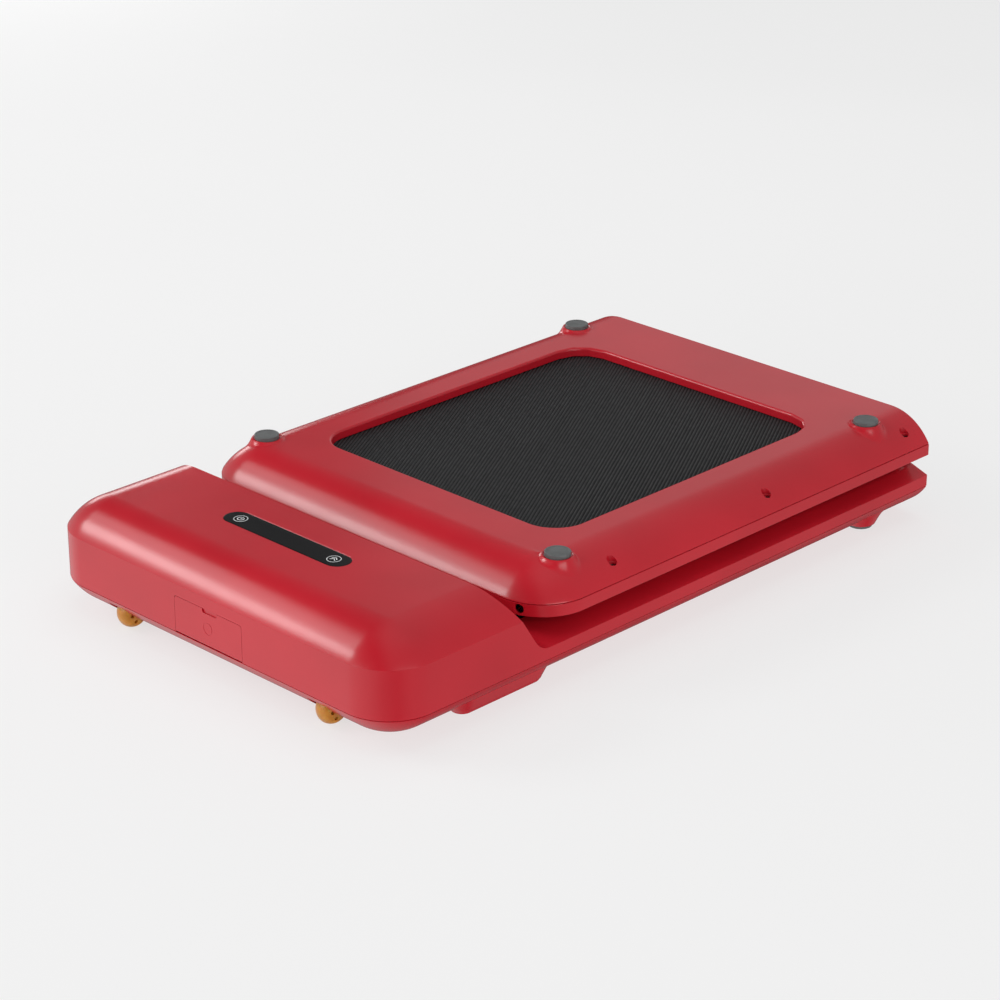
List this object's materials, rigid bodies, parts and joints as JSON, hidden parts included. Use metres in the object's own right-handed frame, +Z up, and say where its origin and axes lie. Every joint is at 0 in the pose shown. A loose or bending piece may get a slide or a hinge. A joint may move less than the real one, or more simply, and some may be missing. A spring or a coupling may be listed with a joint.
{
  "type": "folding walking treadmill",
  "caption": "Flat walking treadmill folded in half: red shells, black belt seen through a window, display on the hood, transport wheels and rubber feet.",
  "frame": {"origin": "centre of the folded object's footprint, on the floor", "axes": "+X across the belt to the user's right when facing the fold from the hood, +Y from the hood to the fold, +Z up"},
  "size_m": [0.516, 0.831, 0.1238],
  "materials": {
    "red_shell": "gloss moulded",
    "display_black": "gloss smoked",
    "circuit_board": "lacquered",
    "black_plastic": "fine texture",
    "rocker_grey": "satin",
    "bright_steel": "ground",
    "dark_steel": "satin paint",
    "cast_aluminium": "machined",
    "belt_black": "ribbed woven PVC",
    "drive_belt_black": "matte",
    "deck_board": "pressed board",
    "foot_rubber": "matte",
    "amber_wheel": "cast polyurethane",
    "screw_steel": "blackened"
  },
  "bodies": {
    "root": {"top_cover": "red_shell", "lower_pan": "red_shell", "display_lens": "display_black", "display_board": "circuit_board", "socket_tray": "black_plastic", "power_inlet": "black_plastic", "switch_bezel": "black_plastic", "door_pin": "bright_steel", "motor_can": "bright_steel", "motor_end_bells": "black_plastic", "motor_bracket": "dark_steel", "drive_belt": "drive_belt_black", "controller_board": "circuit_board", "heat_sink": "cast_aluminium", "front_beam_left": "dark_steel", "front_beam_right": "dark_steel", "front_cross_bars": "dark_steel", "front_deck": "deck_board", "front_deck_cushions": "foot_rubber", "front_roller_axle": "bright_steel", "front_belt": "belt_black", "belt_fold": "belt_black", "wheel_axles": "bright_steel", "wheel_forks": "dark_steel", "skids": "red_shell", "front_feet": "foot_rubber", "front_shell_screws": "screw_steel", "front_hinge_leaves": "dark_steel", "hinge_pins": "bright_steel", "front_hinge_screws": "screw_steel"},
    "rear_half": {"rear_pan": "red_shell", "rear_rim": "red_shell", "rear_beam_left": "dark_steel", "rear_beam_right": "dark_steel", "rear_cross_bars": "dark_steel", "rear_deck": "deck_board", "rear_deck_cushions": "foot_rubber", "rear_roller_axle": "bright_steel", "rear_belt": "belt_black", "tension_blocks": "dark_steel", "tension_bolts": "screw_steel", "rear_feet": "foot_rubber", "rear_shell_screws": "screw_steel", "rear_hinge_leaves": "dark_steel", "rear_hinge_screws": "screw_steel"},
    "door": {"access_door": "red_shell"},
    "rocker": {"switch_rocker": "rocker_grey"},
    "front_roller": {"front_roller_tube": "bright_steel", "front_roller_bearings": "bright_steel", "roller_pulley": "cast_aluminium"},
    "rotor": {"motor_shaft": "bright_steel", "flywheel": "dark_steel", "motor_pulley": "cast_aluminium"},
    "rear_roller": {"rear_roller_tube": "bright_steel", "rear_roller_bearings": "bright_steel"},
    "wheel_left": {"wheel_left": "amber_wheel"},
    "wheel_right": {"wheel_right": "amber_wheel"}
  },
  "joints": [
    {"name": "fold", "type": "hinge", "parent": "root", "child": "rear_half", "pos_m": [0, 0.4095, 0.0619], "axis": [-1, 0, 0], "range_deg": [0, 180], "deforming": ["belt_fold"]},
    {"name": "door_hinge", "type": "hinge", "parent": "root", "child": "door", "pos_m": [0, -0.4139, 0.039], "axis": [1, 0, 0], "range_deg": [0, 88]},
    {"name": "switch_rock", "type": "hinge", "parent": "root", "child": "rocker", "pos_m": [0.024, -0.3695, 0.057], "axis": [1, 0, 0], "range_deg": [0, 18]},
    {"name": "front_roller_spin", "type": "hinge", "parent": "root", "child": "front_roller", "pos_m": [0, -0.238, 0.036], "axis": [1, 0, 0], "continuous": true},
    {"name": "motor_spin", "type": "hinge", "parent": "root", "child": "rotor", "pos_m": [0, -0.3035, 0.063], "axis": [1, 0, 0], "continuous": true},
    {"name": "rear_roller_spin", "type": "hinge", "parent": "rear_half", "child": "rear_roller", "pos_m": [0, -0.153, 0.0878], "axis": [1, 0, 0], "continuous": true},
    {"name": "wheel_left_spin", "type": "hinge", "parent": "root", "child": "wheel_left", "pos_m": [-0.152, -0.3905, 0.0174], "axis": [1, 0, 0], "continuous": true},
    {"name": "wheel_right_spin", "type": "hinge", "parent": "root", "child": "wheel_right", "pos_m": [0.152, -0.3905, 0.0174], "axis": [1, 0, 0], "continuous": true}
  ],
  "couplings": [
    {"joint": "motor_spin", "follows": "front_roller_spin", "ratio": 2},
    {"joint": "rear_roller_spin", "follows": "front_roller_spin", "ratio": 1}
  ]
}
